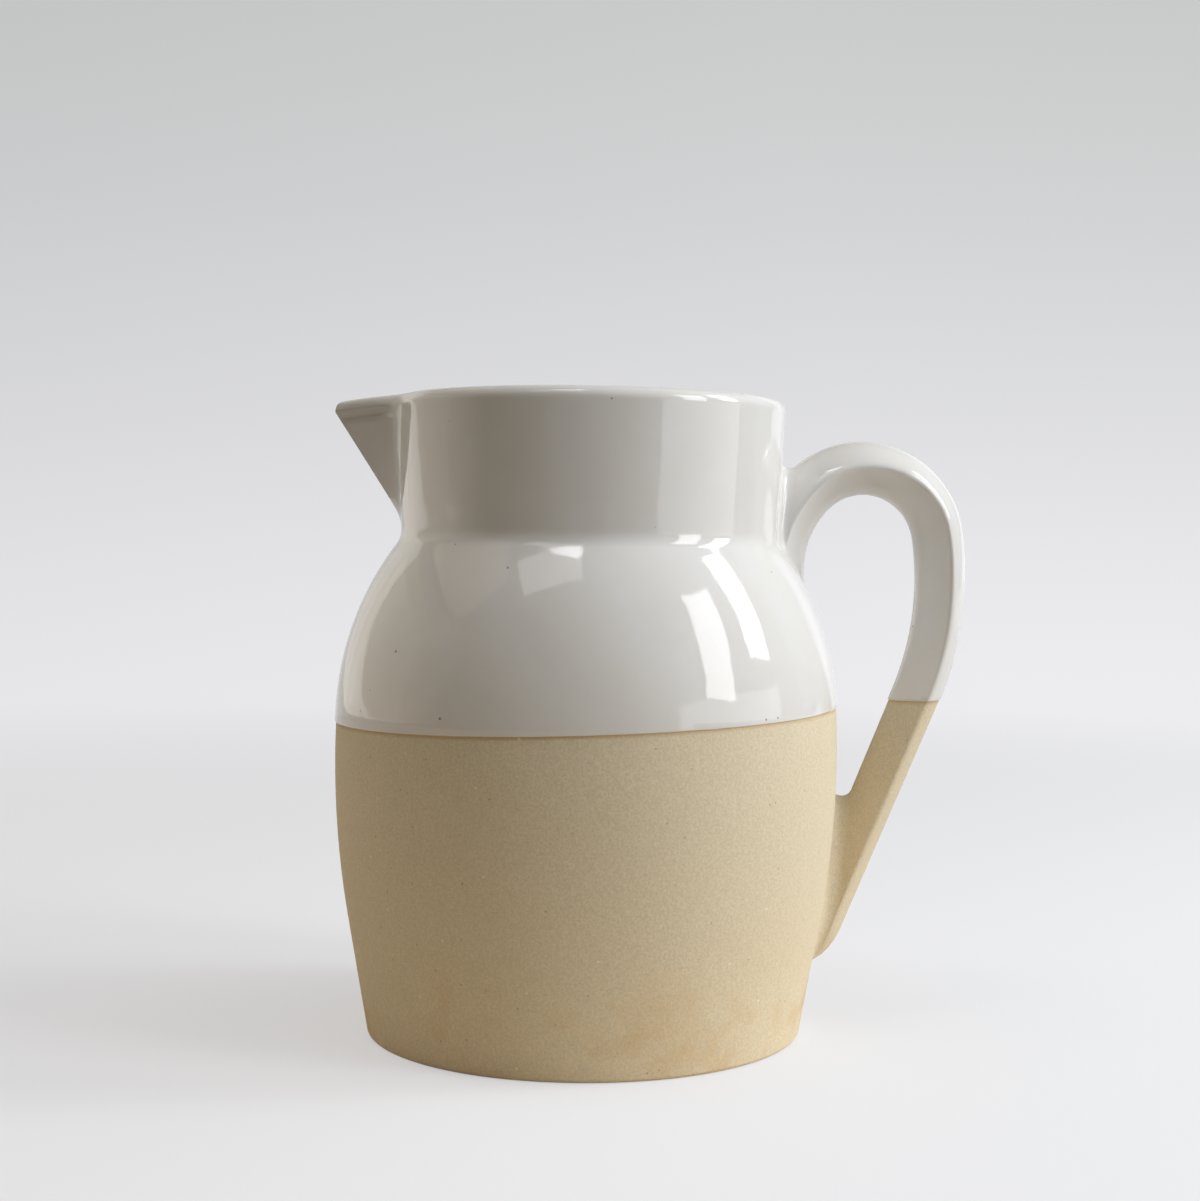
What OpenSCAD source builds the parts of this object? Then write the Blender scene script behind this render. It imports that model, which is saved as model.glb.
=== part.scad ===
// Stoneware crock jug: a thrown body, a sparrow-beak spout folded from a slab and a pulled
// strap handle, luted together with slip and dipped in white glaze down to a tilted line.
// Millimetres, Z up. The jug stands on z = 0 with its axis on Z, the handle points along +X
// and the beak along -X, so the plane y = 0 halves it.

/* [Body] */
// Height of the rim above the table, glaze included
jug_h = 180; // [174:0.5:190]
// Radius of the belly at its widest, bare clay
belly_r = 71.4; // [69:0.2:73]
// How much narrower in radius the foot is than the belly, before its edge is rounded
foot_inset = 9.8; // [8:0.2:11.6]
// Height of the belly's widest ring
belly_z = 78.5; // [75:0.5:82]
// Radius of the long arc that the belly is drawn with
belly_arc_r = 262; // [240:2:300]
// Angle above level at which the belly turns over into the shoulder
turn_angle = 3; // [2.5:0.1:3.5]
// Radius of the shoulder's arc
shoulder_arc_r = 84; // [82:0.2:86]
// How much narrower in radius the waist of the neck is than the belly, clay only
neck_inset = 17.9; // [17:0.1:19.4]
// How much wider in radius the neck is just below the rim than at its waist
rim_flare = 1.5; // [0.8:0.1:2.4]
// Hollow radius where the neck rises from the shoulder
neck_fillet_r = 4; // [2.5:0.5:6]
// Wall thickness, also the thickness of the rounded rim
wall = 5.6; // [4.6:0.2:7]
// Thickness of the floor
floor_t = 7; // [5:0.5:9]
// Rounding of the outer edge of the foot
foot_round_r = 1.5; // [1:0.5:3]
// Rounding inside, between floor and wall
floor_round_r = 9; // [5:1:14]

/* [Beak] */
// How far the lip of the beak stands out from the rim of the neck
beak_reach = 17; // [14:0.5:20]
// How far the lip of the beak lies below the rim
beak_drop = 2.1; // [1.6:0.1:4]
// How far below the rim the lip of the beak leaves the neck
lip_step = 0.6; // [0.5:0.1:1.2]
// Slope of the keel away from upright, degrees
keel_tilt = 32.8; // [29:0.2:36]
// Half of the angle between the two lips, degrees
beak_half_angle = 25; // [21:1:30]
// Thickness of the folded slab
beak_wall = 4.2; // [3.6:0.2:5]
// Diameter of the rolled lip
lip_d = 5; // [4.6:0.1:5.6]
// How much fuller than the lip its drop-shaped end is
tip_swell = 0.4; // [0:0.1:0.6]

/* [Handle] */
// Width of the strap, across the jug
strap_w = 21.4; // [18:0.2:25]
// Thickness of the strap at its root
root_t = 15.6; // [14:0.2:18]
// Thickness of the strap where its tail is rounded off
tail_t = 12.4; // [10:0.2:14]
// Distance from the waist of the neck out to the strap's centre line at its root
root_lead = 0.8; // [0:0.1:2]
// How far below the waist of the neck the root begins, inside the shoulder
root_depth = 20.3; // [16:0.1:24]
// Length of the root that runs straight up against the neck
root_rise = 12.2; // [10:0.2:15]
// Centre-line radius of the bend that leads away from the neck
lead_r = 32; // [29:0.5:35]
// Angle of that bend, degrees
lead_angle = 45.2; // [43:0.2:48]
// Centre-line radius of the crown
crown_r = 22.5; // [21:0.5:24]
// Angle of the crown's bend, degrees
crown_angle = 126; // [123:0.5:129]
// Centre-line radius of the long outer bow
bow_r = 88; // [82:1:94]
// Height at which the straight tail ends in the wall
tail_z = 19.3; // [16:0.1:24]
// How far the end of the tail's centre line lies inside the face of the wall
tail_sink = 0.6; // [0.2:0.1:2]
// Length over which the end of the tail is rounded off
tip_l = 12; // [8:1:16]

/* [Glaze] */
// Thickness of the fired glaze
glaze_t = 0.4; // [0.3:0.1:0.6]
// Height of the dip line on the axis of the jug
dip_z = 91.3; // [86:0.5:98]
// Tilt of the dip line, up towards the handle, degrees
dip_tilt = 2.2; // [0:0.1:4]
// Thickness of the slip in the luted joints
slip_t = 0.5; // [0.3:0.1:0.8]

/* [Hidden] */
$fn = 96;

clay_colour = [0.80, 0.70, 0.51];
slip_colour = [0.74, 0.64, 0.46];
glaze_colour = [0.93, 0.92, 0.90];

// Radii of the foot, of the neck at its waist and of the neck just below the rim
foot_r = belly_r - foot_inset;
neck_r = belly_r - neck_inset;
rim_r = neck_r + rim_flare;

// Rolled rim: the centre of its half-round section
rim_c = [rim_r - wall / 2, jug_h - glaze_t - wall / 2];
// Centres of the arcs that draw the wall: belly, shoulder and the hollow under the neck
belly_c = [belly_r - belly_arc_r, belly_z];
shoulder_c = belly_c + (belly_arc_r - shoulder_arc_r) * [cos(turn_angle), sin(turn_angle)];
hollow_x = neck_r + neck_fillet_r;
hollow_reach = shoulder_arc_r + neck_fillet_r;
hollow_c = [hollow_x, shoulder_c[1] + sqrt(pow(hollow_reach, 2) - pow(hollow_x - shoulder_c[0], 2))];
hollow_angle = acos((hollow_x - shoulder_c[0]) / hollow_reach);

// Beak: the point where its two lips and its keel meet, and the slopes of lip and keel
beak_tip = [-(rim_r + beak_reach - lip_d / 2), 0, jug_h - glaze_t - beak_drop - lip_d / 2];
lip_slope = atan((beak_drop - lip_step) / beak_reach);
lip_l = beak_reach + 2 * wall;
vee_half_angle = atan(tan(beak_half_angle) / cos(keel_tilt - lip_slope));
vee_depth = 2 * (beak_reach + wall);
keel_l = 60;
tip_d = lip_d + tip_swell;

// Handle: the centre line as a list of stations, each [[x, z], heading in degrees, distance run]
root_start = [neck_r + root_lead, hollow_c[1] - root_depth];
root_line = [[root_start, 90, 0], [root_start + [0, root_rise], 90, root_rise]];
lead_line = bend(root_line[1], lead_r, lead_angle, 8);
crown_line = bend(last(lead_line), crown_r, crown_angle, 22);
// The bow runs on until the tail, straight ahead of it, meets its place in the wall
tail_end = [foot_r + tail_z * tan(90 - side_angle(0)) - tail_sink, tail_z];
crown_end = last(crown_line);
bow_c = crown_end[0] + bow_r * [sin(crown_end[1]), -cos(crown_end[1])];
bow_angle = crown_end[1] - touch_angle(bow_c, tail_end, bow_r, -1);
bow_line = bend(crown_end, bow_r, bow_angle, 8);
tail_l = norm(tail_end - last(bow_line)[0]);
tail_line = [for (i = [1 : 3]) ahead(last(bow_line), (tail_l - tip_l) * i / 3)];
tip_line = [for (i = [1 : 6]) ahead(last(tail_line), tip_l * sin(15 * i))];
strap_line = concat(root_line, lead_line, crown_line, bow_line, tail_line, tip_line);
strap_l = last(strap_line)[2];
strap_sides = 36;

// Height that parts the two luted ends of the handle
mid_z = belly_z;
// Larger than the jug in every direction
far = 300;

function last(v) = v[len(v) - 1];
function reversed(v) = [for (i = [len(v) - 1 : -1 : 0]) v[i]];

// Points on a circle about c from angle a to angle b, in n steps
function arc(c, r, a, b, n) = [for (i = [0 : n]) c + r * [cos(a + (b - a) * i / n), sin(a + (b - a) * i / n)]];

// Angle of the line from p that touches the circle of radius r about c, passing on its side -1 or 1,
// and as well of the line that leaves the circle of radius r about p and runs to c
function touch_angle(p, c, r, side) = atan2(c[1] - p[1], c[0] - p[0]) + side * asin(r / norm(c - p));

// Stations of a right-hand bend that follows station s, in n steps
function bend(s, r, turn, n) =
    [for (i = [1 : n])
        let (a = s[1] - turn * i / n)
        [s[0] + r * [sin(s[1]) - sin(a), cos(a) - cos(s[1])], a, s[2] + r * turn * i / n * PI / 180]];

// Station straight ahead of station s
function ahead(s, length) = [s[0] + length * [cos(s[1]), sin(s[1])], s[1], s[2] + length];

// Angle above level of the straight lower wall, which runs from the foot to touch the belly's arc
function side_angle(off) = touch_angle([foot_r + off, 0], belly_c, belly_arc_r + off, -1);

// Wall surface in half section, moved out by off, from base_z up to the rim.
// The corner at the bottom is rounded with corner_r.
function side_line(off, base_z, corner_r) =
    let (foot = [foot_r + off, 0],
         taper = 90 - side_angle(off),
         round_z = base_z + corner_r,
         round_c = [foot[0] + round_z * tan(taper) - corner_r / cos(taper), round_z],
         rim = [rim_r + off, rim_c[1]],
         flare = touch_angle(rim, hollow_c, neck_fillet_r - off, -1) + 90)
    concat(arc(round_c, corner_r, -90, -taper, 8),
           arc(belly_c, belly_arc_r + off, -taper, turn_angle, 10),
           arc(shoulder_c, shoulder_arc_r + off, turn_angle, hollow_angle, 18),
           arc(hollow_c, neck_fillet_r - off, 180 + hollow_angle, 180 + flare, 8));

// Outside of the body in half section, moved out by off, over the rim to its inner edge
function outer_line(off) = concat(side_line(off, 0, foot_round_r), arc(rim_c, wall / 2 + off, 0, 180, 16));

// Inside of the body in half section, with wall and floor thickened by t, up to the rim's inner edge
function inner_line(t) =
    concat([[0, floor_t + t]], side_line(-wall - t, floor_t + t, floor_round_r - t),
           [[rim_r - wall - t, rim_c[1]]]);

// The whole body, filled, with its surface moved out by off
module filled(off) {
    rim_top = rim_c[1] + wall / 2 + off;
    rotate_extrude()
        polygon(concat([[0, 0]], side_line(off, 0, foot_round_r), arc(rim_c, wall / 2 + off, 0, 90, 8),
                       [[0, rim_top]]));
}

// A skin on the outside of the body, t thick
module outer_skin(t) {
    rotate_extrude() polygon(concat(outer_line(t), reversed(outer_line(0))));
}

// Everything inside the middle of the rim, from just below its rounded edge upwards
module mouth() {
    translate([0, 0, rim_c[1] - wall]) cylinder(h = far, r = rim_c[0]);
}

// Everything below the dip line
module below_dip() {
    translate([0, 0, dip_z]) rotate([0, -dip_tilt, 0])
        translate([-far, -far, -2 * far]) cube(2 * far);
}

// Places a section square to the keel and runs it along the keel
module along_keel() {
    translate(beak_tip) rotate([0, -keel_tilt, 0]) translate([0, 0, -keel_l])
        linear_extrude(2 * keel_l) children();
}

// Everything below the plane of the two lips
module below_lips() {
    translate(beak_tip) rotate([0, -lip_slope, 0]) translate([-far, -far, -2 * far]) cube(2 * far);
}

// Outer face of the fold in the section square to the keel, moved out by off
function fold_line(off) =
    let (r = beak_wall / 2 + off,
         fold = arc([0, 0], r, 90 + vee_half_angle, 270 - vee_half_angle, 8),
         back = vee_depth * [cos(vee_half_angle), sin(vee_half_angle)])
    concat([fold[0] + back], fold, [last(fold) + [back[0], -back[1]]]);

// Inner face of the fold, the channel, moved in by off
function channel_line(off) =
    let (apex = (beak_wall / 2 + off) / sin(vee_half_angle),
         back = 1.2 * vee_depth * [cos(vee_half_angle), sin(vee_half_angle)])
    [[apex, 0] + back, [apex, 0], [apex, 0] + [back[0], -back[1]]];

// Pouring channel through the neck
module channel() {
    along_keel() polygon(channel_line(0));
}

// The folded beak before it is fitted to the neck, with its surface moved out by off
module beak(off) {
    intersection() {
        along_keel() polygon(concat(fold_line(off), reversed(channel_line(off))));
        below_lips();
    }
    translate(beak_tip) {
        sphere(d = tip_d + 2 * off);
        for (s = [-1, 1])
            rotate([0, -lip_slope, 0]) rotate([0, 0, s * beak_half_angle]) rotate([0, 90, 0])
                cylinder(h = lip_l, d = lip_d + 2 * off);
    }
}

// One cross-section of the strap: an oval, square to the centre line at station s
function strap_ring(s, off) =
    let (into_tip = max(0, 1 - (strap_l - s[2]) / tip_l),
         taper_t = root_t + (tail_t - root_t) * s[2] / (strap_l - tip_l),
         half_t = taper_t / 2 * sqrt(1 - pow(0.98 * into_tip, 2)) + off,
         half_w = strap_w / 2 * sqrt(1 - pow(0.8 * into_tip, 2)) + off)
    [for (j = [0 : strap_sides - 1])
        let (a = 360 * j / strap_sides)
        [s[0][0] - half_t * cos(a) * sin(s[1]), half_w * sin(a), s[0][1] + half_t * cos(a) * cos(s[1])]];

// The whole strap before it is fitted to the body, with its surface moved out by off
module strap(off) {
    n = strap_sides;
    m = len(strap_line);
    points = [for (s = strap_line) each strap_ring(s, off)];
    sides = [for (i = [0 : m - 2]) for (j = [0 : n - 1])
        let (a = i * n + j, b = i * n + (j + 1) % n)
        each [[a, b, b + n], [a, b + n, a + n]]];
    start_cap = [for (j = [n - 1 : -1 : 0]) j];
    end_cap = [for (j = [0 : n - 1]) (m - 1) * n + j];
    polyhedron(points, concat(sides, [start_cap, end_cap]));
}

module body() {
    color(clay_colour) difference() {
        rotate_extrude() polygon(concat([[0, 0]], outer_line(0), reversed(inner_line(0))));
        channel();
    }
}

module spout() {
    color(clay_colour) difference() {
        beak(0);
        filled(slip_t);
        mouth();
    }
}

module handle() {
    color(clay_colour) difference() {
        strap(0);
        filled(slip_t);
    }
}

module spout_luting() {
    color(slip_colour) difference() {
        intersection() {
            outer_skin(slip_t);
            beak(0);
        }
        mouth();
    }
}

module root_luting() {
    color(slip_colour) difference() {
        intersection() {
            outer_skin(slip_t);
            strap(0);
        }
        translate([-far, -far, mid_z - 2 * far]) cube(2 * far);
    }
}

module tail_luting() {
    color(slip_colour) difference() {
        intersection() {
            outer_skin(slip_t);
            strap(0);
        }
        translate([-far, -far, mid_z]) cube(2 * far);
    }
}

module body_glaze() {
    color(glaze_colour) difference() {
        outer_skin(glaze_t);
        below_dip();
        beak(0);
        channel();
        strap(0);
    }
}

module liner_glaze() {
    color(glaze_colour) difference() {
        rotate_extrude() polygon(concat(inner_line(0), reversed(inner_line(glaze_t))));
        channel();
    }
}

module spout_glaze() {
    color(glaze_colour) {
        difference() {
            beak(glaze_t);
            beak(0);
            filled(glaze_t);
            mouth();
        }
    }
}

module handle_glaze() {
    color(glaze_colour) difference() {
        difference() {
            strap(glaze_t);
            filled(glaze_t);
            below_dip();
        }
        strap(0);
    }
}

body();
spout();
handle();
spout_luting();
root_luting();
tail_luting();
body_glaze();
liner_glaze();
spout_glaze();
handle_glaze();
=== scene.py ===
from bisect import bisect_right
from collections import namedtuple
from math import acos, asin, atan2, copysign, cos, exp, hypot, pi, radians, sin, sqrt, tan
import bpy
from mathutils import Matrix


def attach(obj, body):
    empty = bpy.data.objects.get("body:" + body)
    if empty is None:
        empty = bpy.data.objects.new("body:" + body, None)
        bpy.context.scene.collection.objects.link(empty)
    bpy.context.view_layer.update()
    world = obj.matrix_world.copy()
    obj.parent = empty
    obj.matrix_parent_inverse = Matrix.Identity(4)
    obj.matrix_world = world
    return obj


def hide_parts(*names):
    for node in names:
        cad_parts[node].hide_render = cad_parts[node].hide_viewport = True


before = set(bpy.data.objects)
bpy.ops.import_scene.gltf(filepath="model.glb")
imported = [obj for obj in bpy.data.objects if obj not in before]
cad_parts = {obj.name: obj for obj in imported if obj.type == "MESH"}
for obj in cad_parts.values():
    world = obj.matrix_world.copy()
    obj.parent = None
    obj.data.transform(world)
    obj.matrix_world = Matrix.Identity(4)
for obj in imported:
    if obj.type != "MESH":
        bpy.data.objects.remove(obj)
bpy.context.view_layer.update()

from types import SimpleNamespace

import bmesh
import bpy
from bpy.props import FloatProperty, FloatVectorProperty, PointerProperty
from mathutils import Matrix, Vector

bl_info = {
    "name": "Stoneware crock jug",
    "version": (1, 0, 0),
    "blender": (4, 5, 0),
    "location": "View3D > Sidebar > Jug",
    "description": "Throws, dips and stages a stoneware jug with a folded beak and a pulled handle",
    "category": "Object",
}

MM = 0.001


# Sizes and colours

def from_hex(text):
    """An sRGB hex colour as linear red, green, blue and alpha."""
    parts = [int(text[i : i + 2], 16) / 255 for i in (1, 3, 5)]
    return tuple(c / 12.92 if c <= 0.04045 else ((c + 0.055) / 1.055) ** 2.4 for c in parts) + (1.0,)


def length(name, description, mm):
    """A length property whose default is given in millimetres."""
    return FloatProperty(name=name, description=description, default=mm * MM, unit="LENGTH", precision=5)


def angle(name, description, deg):
    """An angle property whose default is given in degrees."""
    return FloatProperty(name=name, description=description, default=radians(deg), subtype="ANGLE")


def share(name, description, part):
    """A property whose default is a share of another size."""
    return FloatProperty(name=name, description=description, default=part, subtype="FACTOR", min=0, max=1)


def colour(name, description, text):
    """A colour property whose default is an sRGB hex value."""
    return FloatVectorProperty(
        name=name, description=description, default=from_hex(text), subtype="COLOR", size=4, min=0, max=1
    )


class JugBodySizes(bpy.types.PropertyGroup):
    """Sizes of the thrown body and its glaze"""

    jug_h: length("Height", "Height of the rim above the table, glaze included", 180)
    belly_r: length("Belly radius", "Radius of the belly at its widest, bare clay", 71.4)
    foot_inset: length("Foot inset", "How much narrower in radius the foot is than the belly", 9.8)
    belly_z: length("Belly height", "Height of the belly's widest ring", 78.5)
    belly_arc_r: length("Belly arc", "Radius of the long arc that the belly is drawn with", 262)
    turn_angle: angle("Shoulder turn", "Angle above level at which the belly turns into the shoulder", 3)
    shoulder_arc_r: length("Shoulder arc", "Radius of the shoulder's arc", 84)
    neck_inset: length("Neck inset", "How much narrower in radius the neck's waist is than the belly", 18.2)
    rim_flare: length("Rim flare", "How much wider in radius the neck is at the rim than at its waist", 1.8)
    neck_fillet_r: length("Neck hollow", "Hollow radius where the neck rises from the shoulder", 7)
    wall: length("Wall", "Wall thickness, also the thickness of the rounded rim", 5.6)
    floor_t: length("Floor", "Thickness of the floor", 7)
    foot_round_r: length("Foot rounding", "Rounding of the outer edge of the foot", 1.5)
    floor_round_r: length("Floor rounding", "Rounding inside, between floor and wall", 9)
    glaze_t: length("Glaze", "Thickness of the fired glaze", 0.4)
    dip_z: length("Dip line", "Height of the dip line on the axis of the jug", 91.3)
    dip_tilt: angle("Dip tilt", "Tilt of the dip line, up towards the handle", 2.2)


class JugBeakSizes(bpy.types.PropertyGroup):
    """Sizes of the folded beak"""

    tip_reach: length("Tip reach", "Distance from the jug's axis to the middle of the fold at the lip", 69.5)
    tip_z: length("Tip height", "Height of the middle of the fold at the lip", 175)
    keel_tilt: angle("Keel tilt", "Slope of the keel away from upright", 32.8)
    half_angle: angle("Half angle", "Half of the angle between the two sides", 24.2)
    slab_t: length("Slab", "Thickness of the folded slab", 4.2)
    drop: length("Lip drop", "How far the tip of the lip lies below the rim", 2.1)
    blend: length("Blend", "How softly the sides of the beak run into the neck", 9.0)
    crease: length("Lip crease", "How deep the soft crease under the rolled lip is", 1.1)


class JugHandleSizes(bpy.types.PropertyGroup):
    """Sizes of the pulled strap handle"""

    strap_w: length("Strap width", "Width of the strap, across the jug", 21.4)
    root_t: length("Root thickness", "Thickness of the strap at its root", 15.6)
    tail_t: length("Tail thickness", "Thickness of the strap where its tail is rounded off", 12.4)
    pinch: share("Outer pinch", "How much the strap's outer side narrows to its edges", 0.46)
    inner_pinch: share("Inner pinch", "How much the strap's inner side narrows to its edges", 0.72)
    edge_shift: share("Edge shift", "How far the edge lies towards the outer face below the crown", 0.14)
    root_x: length("Root reach", "Distance from the jug's axis to the strap's root", 54.3)
    root_z: length("Root height", "Height at which the strap's root begins inside the shoulder", 120.39)
    root_rise: length("Root rise", "Length of the root that runs straight up against the neck", 12.2)
    lead_r: length("Lead radius", "Radius of the bend that leads away from the neck", 32)
    lead_angle: angle("Lead angle", "Angle of that bend", 45.2)
    crown_r: length("Crown radius", "Radius of the crown", 22.5)
    crown_angle: angle("Crown angle", "Angle of the crown's bend", 126)
    bow_r: length("Bow radius", "Radius of the long outer bow", 88)
    tail_x: length("Tail reach", "Distance from the jug's axis to the end of the tail", 64.4)
    tail_z: length("Tail height", "Height at which the straight tail ends in the wall", 19.3)
    tip_l: length("Tail rounding", "Length over which the end of the tail is rounded off", 12)
    root_fillet: length("Root fillet", "Radius of the smoothed slip where the root leaves the body", 3.0)
    tail_fillet: length("Tail fillet", "Radius of the smoothed slip where the tail meets the wall", 3.4)


class JugFinish(bpy.types.PropertyGroup):
    """Colours of the clay, the glaze and the sheet below them"""

    clay: colour("Clay", "Main colour of the fired, sanded clay", "#E8D9BB")
    clay_grain: colour("Clay grain", "Darker sand grains in the clay", "#A88C62")
    clay_pale: colour("Clay fleck", "Pale flecks in the clay", "#EFE6D2")
    clay_toast: colour("Clay toast", "Warm toasting low on the wall and along the glaze", "#CFAA70")
    glaze: colour("Glaze", "Main colour of the white glaze", "#E9E7E4")
    glaze_thin: colour("Thin glaze", "Glaze where it lies thin and the clay shows", "#DAD3C6")
    glaze_speck: colour("Glaze speck", "Iron specks in the glaze", "#8A6B4B")
    floor: colour("Floor", "Pale floor and backdrop", "#F6F6F7")
    bounce: colour("Bounce", "Light that the floor throws back on the jug", "#DCCDB5")
    room: colour("Room", "The dim room that the floor ends in", "#3C352E")


# Drawing of the wall

# Steps on the belly, the shoulder and the neck, outside and inside
OUTER_STEPS = (16, 30, 46)
INNER_STEPS = (10, 18, 30)
# Steps on the rounded corner at the foot, on the straight side above it, in the neck's hollow and on the rim
CORNER_STEPS = 8
SIDE_STEPS = 7
HOLLOW_STEPS = 10
RIM_STEPS = 24
# Rings under the foot and on the floor inside, as shares of their radius
FOOT_RINGS = (0.0, 0.06, 0.3, 0.6, 0.9)
FLOOR_RINGS = (0.8, 0.6, 0.4, 0.2, 0.06, 0.0)


def arc(c, r, a, b, n):
    """Points on a circle about c from angle a to angle b, in n steps."""
    turns = [a + (b - a) * i / n for i in range(n + 1)]
    return [(c[0] + r * cos(t), c[1] + r * sin(t)) for t in turns]


def between(a, b, n):
    """The n - 1 points that part the line from a to b in n."""
    return [(a[0] + (b[0] - a[0]) * i / n, a[1] + (b[1] - a[1]) * i / n) for i in range(1, n)]


def touch_angle(p, c, r):
    """Angle of the line from p that passes below the circle of radius r about c and touches it."""
    return atan2(c[1] - p[1], c[0] - p[0]) - asin(r / hypot(c[0] - p[0], c[1] - p[1]))


def wall_marks(s):
    """Radii, arc centres and angles that the wall is drawn from."""
    m = SimpleNamespace(foot_r=s.belly_r - s.foot_inset, neck_r=s.belly_r - s.neck_inset)
    m.rim_r = m.neck_r + s.rim_flare
    m.rim_c = (m.rim_r - s.wall / 2, s.jug_h - s.glaze_t - s.wall / 2)
    m.belly_c = (s.belly_r - s.belly_arc_r, s.belly_z)
    reach = s.belly_arc_r - s.shoulder_arc_r
    m.shoulder_c = (m.belly_c[0] + reach * cos(s.turn_angle), m.belly_c[1] + reach * sin(s.turn_angle))
    x = m.neck_r + s.neck_fillet_r
    r = s.shoulder_arc_r + s.neck_fillet_r
    m.hollow_c = (x, m.shoulder_c[1] + sqrt(r**2 - (x - m.shoulder_c[0]) ** 2))
    m.hollow_angle = acos((x - m.shoulder_c[0]) / r)
    return m


def side_line(s, m, off, base_z, corner_r, steps=OUTER_STEPS):
    """The wall in half section, moved out by off, from base_z up to the rim."""
    belly_steps, shoulder_steps, neck_steps = steps
    taper = pi / 2 - touch_angle((m.foot_r + off, 0), m.belly_c, s.belly_arc_r + off)
    z = base_z + corner_r
    corner_c = (m.foot_r + off + z * tan(taper) - corner_r / cos(taper), z)
    corner = arc(corner_c, corner_r, -pi / 2, -taper, CORNER_STEPS)
    belly = arc(m.belly_c, s.belly_arc_r + off, -taper, s.turn_angle, belly_steps)
    shoulder = arc(m.shoulder_c, s.shoulder_arc_r + off, s.turn_angle, m.hollow_angle, shoulder_steps)
    rim = (m.rim_r + off, m.rim_c[1])
    hollow_r = s.neck_fillet_r - off
    flare = touch_angle(rim, m.hollow_c, hollow_r) + pi / 2
    hollow = arc(m.hollow_c, hollow_r, pi + m.hollow_angle, pi + flare, HOLLOW_STEPS)
    side = between(corner[-1], belly[0], SIDE_STEPS)
    neck = between(hollow[-1], rim, neck_steps)
    return corner + side + belly + shoulder[1:] + hollow[1:] + neck + [rim]


def rim_line(s, m, off):
    """The rounded rim in section, between its outer and its inner edge."""
    return arc(m.rim_c, s.wall / 2 + off, 0, pi, RIM_STEPS)[1:-1]


def inner_line(s, m, off):
    """The inside in half section, from the rim's inner edge down to the middle of the floor."""
    floor_z = s.floor_t + off
    line = side_line(s, m, -s.wall - off, floor_z, s.floor_round_r - off, INNER_STEPS)
    return line[::-1] + [(line[0][0] * part, floor_z) for part in FLOOR_RINGS]


# Hand tools

# Size of a primitive before its points are moved to their places
START_SIZE = 10 * MM
# Points closer than this are one
SAME_PLACE = 0.002 * MM
# The beak is pulled within this angle to each side, where the columns lie closer
BEAK_SECTOR = radians(26)
BEAK_COLUMNS = 116
WALL_COLUMNS = 116
# Edges sharper than this stay sharp
SHARP_ANGLE = radians(50)


def start_fresh():
    """Leaves edit mode and selects nothing."""
    if bpy.context.mode != "OBJECT":
        bpy.ops.object.mode_set(mode="OBJECT")
    bpy.ops.object.select_all(action="DESELECT")


def take_up(piece):
    """Makes a piece the active one and the only one selected."""
    start_fresh()
    bpy.context.view_layer.objects.active = piece
    piece.select_set(True)


def begin(name):
    """Names the new primitive and selects it all in edit mode."""
    piece = bpy.context.object
    piece.name = piece.data.name = name
    bpy.ops.object.mode_set(mode="EDIT")
    bpy.ops.mesh.select_all(action="SELECT")
    return piece


def draw_line(name, points):
    """Begins a mesh as one point and draws it on through the points, in edit mode."""
    start_fresh()
    bpy.ops.mesh.primitive_plane_add(size=START_SIZE)
    piece = begin(name)
    bpy.ops.mesh.merge(type="CENTER")
    bpy.ops.transform.translate(value=points[0])
    for a, b in zip(points, points[1:]):
        bpy.ops.mesh.extrude_vertices_move(TRANSFORM_OT_translate={"value": Vector(b) - Vector(a)})
    return piece


def throw(name, line):
    """Spins a half section round the jug's axis, with closer columns where the beak is pulled."""
    start = pi - BEAK_SECTOR
    piece = draw_line(name, [(r * cos(start), r * sin(start), z) for r, z in line])
    bpy.ops.mesh.select_all(action="SELECT")
    for steps, turn in ((BEAK_COLUMNS, 2 * BEAK_SECTOR), (WALL_COLUMNS, 2 * pi - 2 * BEAK_SECTOR)):
        bpy.ops.mesh.spin(steps=steps, angle=turn, center=(0, 0, 0), axis=(0, 0, 1))
    bpy.ops.mesh.select_all(action="SELECT")
    bpy.ops.mesh.remove_doubles(threshold=SAME_PLACE)
    bpy.ops.mesh.normals_make_consistent(inside=False)
    bpy.ops.object.mode_set(mode="OBJECT")
    return piece


def pulled_on(v):
    """The selected point that was just pulled out of a point."""
    ends = (e.other_vert(v) for e in v.link_edges)
    return next(end for end in ends if end.select)


def pull_rings(name, rings):
    """Begins with the first ring of points and pulls the mesh on from ring to ring, in edit mode."""
    start_fresh()
    bpy.ops.mesh.primitive_circle_add(vertices=len(rings[0]), radius=START_SIZE, fill_type="NOTHING")
    piece = begin(name)
    bm = bmesh.from_edit_mesh(piece.data)
    loop = [v.index for v in bm.verts]
    for v, p in zip(bm.verts, rings[0]):
        v.co = p
    for ring in rings[1:]:
        bpy.ops.mesh.extrude_edges_move()
        bm = bmesh.from_edit_mesh(piece.data)
        bm.verts.ensure_lookup_table()
        loop = [pulled_on(bm.verts[i]).index for i in loop]
        for i, p in zip(loop, ring):
            bm.verts[i].co = p
    bmesh.update_edit_mesh(piece.data)
    return piece


def select_edges(piece, wanted):
    """Selects the edges that pass a test, and no others, in edit mode."""
    bpy.ops.mesh.select_all(action="DESELECT")
    bm = bmesh.from_edit_mesh(piece.data)
    for e in bm.edges:
        e.select_set(wanted(e))
    bmesh.update_edit_mesh(piece.data)


# Skin within this height of the middle of the dip line may be cut by it
DIP_REACH = 12 * MM
# The glaze's edge is rolled in two steps, each so far in to the clay and so far down
ROLL_STEPS = ((0.12 * MM, 0.26 * MM), (0.31 * MM, 0.08 * MM))
# While it is rolled, the edge lies within this distance of the dip plane
ROLL_REACH = 0.5 * MM


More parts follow.
